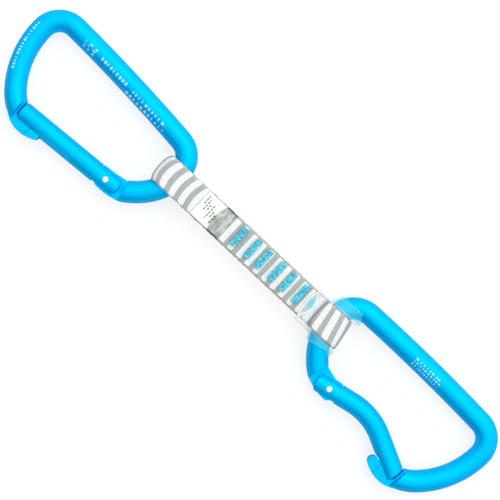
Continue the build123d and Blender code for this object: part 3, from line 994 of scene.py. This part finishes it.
def keeper():
    """The clear keeper: the moulding's body with soft edges and a band bowed along the sling."""
    source = frame["nodes"]["keeper"]
    piece = new_object("keeper_moulding", source.data.copy())
    piece.data.materials.clear()
    remesh = piece.modifiers.new("voxels", "REMESH")
    remesh.mode = "VOXEL"
    remesh.voxel_size = KEEPER_VOXEL * MM
    relax = piece.modifiers.new("soft", "SMOOTH")
    relax.factor = 0.5
    relax.iterations = 5
    evaluated(piece)
    to_bar = LOWER.inverted()
    rims, band_edge_shadows, sleeves, windows = [], [], [], []
    for vertex in piece.data.vertices:
        point = vertex.co / MM - MOVE
        on_band = smooth_step(*BAND_SIDE, abs(point.y)) * smooth_step(*BAND_FALL, point.x)
        share = smooth_step(BAND_END + 0.6, BAND_START, point.x)
        bow = BAND_BOW * share * (1 - ((point.y - 0.5) / 7.6) ** 2)
        side = 1 if point.z > BAR_Z else -1
        near_rim = min(abs(point.x - BAND_START - 0.4), abs(point.x - lens_end(point.y)))
        rim = on_band * math.exp(-(near_rim / 0.4) ** 2)
        # a painted shadow line along the band's far edge
        band_edge_shadow = on_band * math.exp(-((point.x - BAND_END + 0.3) / 0.3) ** 2)
        place = (to_bar @ vertex.co) / MM
        off_band = smooth_step(*SLEEVE_SIDE, abs(point.y))
        ribs = math.sin(2 * math.pi * (place.y + 0.23 * place.x) / RIB_PITCH)
        rib = off_band * max(0.0, ribs) ** 3
        # where the painted reflection in the clear window goes
        window = in_window(point.x, point.y)
        vertex.co += vertex.normal * (0.22 * rim + 0.16 * rib) * MM
        vertex.co.x -= bow * on_band * MM
        vertex.co.z -= side * on_band * squeeze(point.x, point.y) * MM
        rims.append(min(1.0, rim + 0.12 * rib))
        band_edge_shadows.append(0.8 * band_edge_shadow)
        windows.append(on_band * window)
        sleeves.append(off_band * smooth_step(*SLEEVE_RISE, point.x))
    numbers = {"rim": rims, "sleeve": sleeves, "band_edge_shadow": band_edge_shadows, "window": windows}
    for name, values in numbers.items():
        add_attribute(piece, name, values)
    piece.data.materials.append(materials["rubber"])
    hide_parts("keeper")
    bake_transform(piece)


# ---------------------------------------------------------------- carabiners and their hinges

def dress(node, material):
    """Gives a CAD node a better material."""
    piece = frame["nodes"][node]
    piece.data.materials.clear()
    piece.data.materials.append(material)


def hardware():
    """Materials for the carabiners and what is in their hinges."""
    rivet = steel("rivet_steel", (0.66, 0.68, 0.70), 0.28)
    wire = steel("spring_steel", (0.60, 0.61, 0.63), 0.30)
    plunger = steel("follower_steel", (0.68, 0.68, 0.70), 0.28)
    for name, matrix, seat_y, marks, top in (
        ("upper", UPPER, UPPER_SEAT_Y, upper_marks, 1.0),
        ("lower", LOWER, LOWER_SEAT_Y, lower_marks, -1.0),
    ):
        dress(f"{name}_body", anodised(f"{name}_body_anodised", matrix, seat_y, marks, top))
        dress(f"{name}_gate", anodised(f"{name}_gate_anodised", matrix, seat_y, None, top))
        dress(f"{name}_hinge_rivet", rivet)
        dress(f"{name}_gate_spring", wire)
        dress(f"{name}_spring_follower", plunger)
        squash_spring(name)


def squash_spring(name):
    """A copy of the gate spring with a mesh of its own, carried by the gate."""
    spring = frame["nodes"][f"{name}_gate_spring"]
    copy = new_object(f"{name}_spring_coil", spring.data.copy())
    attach(copy, f"{name}_gate")
    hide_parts(f"{name}_gate_spring")
    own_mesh(copy)


# ---------------------------------------------------------------- studio

def floor():
    """A plain pale floor."""
    mesh = bpy.data.meshes.new("studio_floor")
    corners = [(x * FLOOR_HALF, y * FLOOR_HALF, 0) for x, y in ((-1, -1), (1, -1), (1, 1), (-1, 1))]
    mesh.from_pydata(corners, [], [(0, 1, 2, 3)])
    piece = new_object("studio_floor", mesh)
    shader = Shader("pale_floor", Roughness=0.75)
    cloud = shader.noise(shader.place(), 4.0, 2.0)
    shader.set("Base Color", shader.mix(cloud, FLOOR_DARK, FLOOR_PALE))
    shader.set("Specular IOR Level", 0.1)
    shader.set("Emission Color", FLOOR_GLOW)
    shader.set("Emission Strength", FLOOR_GLOW_STRENGTH)
    mesh.materials.append(shader.material)


def area_light(name, place, target, size, power):
    """A soft square light that looks at a point."""
    data = bpy.data.lights.new(name, "AREA")
    data.size = size
    data.energy = power
    light = bpy.data.objects.new(name, data)
    light.location = place
    light.rotation_euler = (Vector(target) - Vector(place)).to_track_quat("-Z", "Y").to_euler()
    bpy.context.scene.collection.objects.link(light)


def studio():
    """A broad soft dome, brightest high on one side, and one gentle key light."""
    world = bpy.data.worlds.new("studio")
    world.use_nodes = True
    tree = world.node_tree
    background = tree.nodes["Background"]
    background.inputs["Color"].default_value = colour(0.98, 0.99, 1.0)
    place = tree.nodes.new("ShaderNodeTexCoord")
    facing = tree.nodes.new("ShaderNodeVectorMath")
    facing.operation = "DOT_PRODUCT"
    facing.inputs[1].default_value = SKY_WAY.normalized()
    tree.links.new(place.outputs["Generated"], facing.inputs[0])
    lobe = tree.nodes.new("ShaderNodeMapRange")
    lobe.interpolation_type = "SMOOTHSTEP"
    lobe.inputs["From Min"].default_value = SKY_DARK_SIDE
    lobe.inputs["From Max"].default_value = SKY_BRIGHT_SIDE
    lobe.inputs["To Min"].default_value = SKY_LOW
    lobe.inputs["To Max"].default_value = SKY_HIGH
    tree.links.new(facing.outputs["Value"], lobe.inputs["Value"])
    tree.links.new(lobe.outputs["Result"], background.inputs["Strength"])
    bpy.context.scene.world = world
    bpy.context.scene.view_settings.view_transform = "Standard"
    area_light("key", KEY_PLACE, (0, 0, 0), KEY_SIZE, KEY_POWER)


def camera():
    """Straight down from far away, turned so that the sling falls to the lower right."""
    data = bpy.data.cameras.new("photo")
    data.lens = LENS
    data.sensor_width = SENSOR
    view = bpy.data.objects.new("photo", data)
    target = to_object((0.0, -0.3, 6.0))
    distance = VIEW_WIDTH * LENS / SENSOR
    view.location = target + Vector((0, 0, distance))
    view.rotation_euler = (0, 0, math.radians(VIEW_TURN))
    data.clip_start = 0.01
    data.clip_end = 20.0
    bpy.context.scene.collection.objects.link(view)
    bpy.context.scene.camera = view


materials = {"thread": thread_material(), "rubber": rubber_material()}
camera()
floor()
studio()
hardware()
strip = webbing()
for tack_number in range(1, TACK_COUNT + 1):
    bar_tack(tack_number)
label(strip)
keeper()
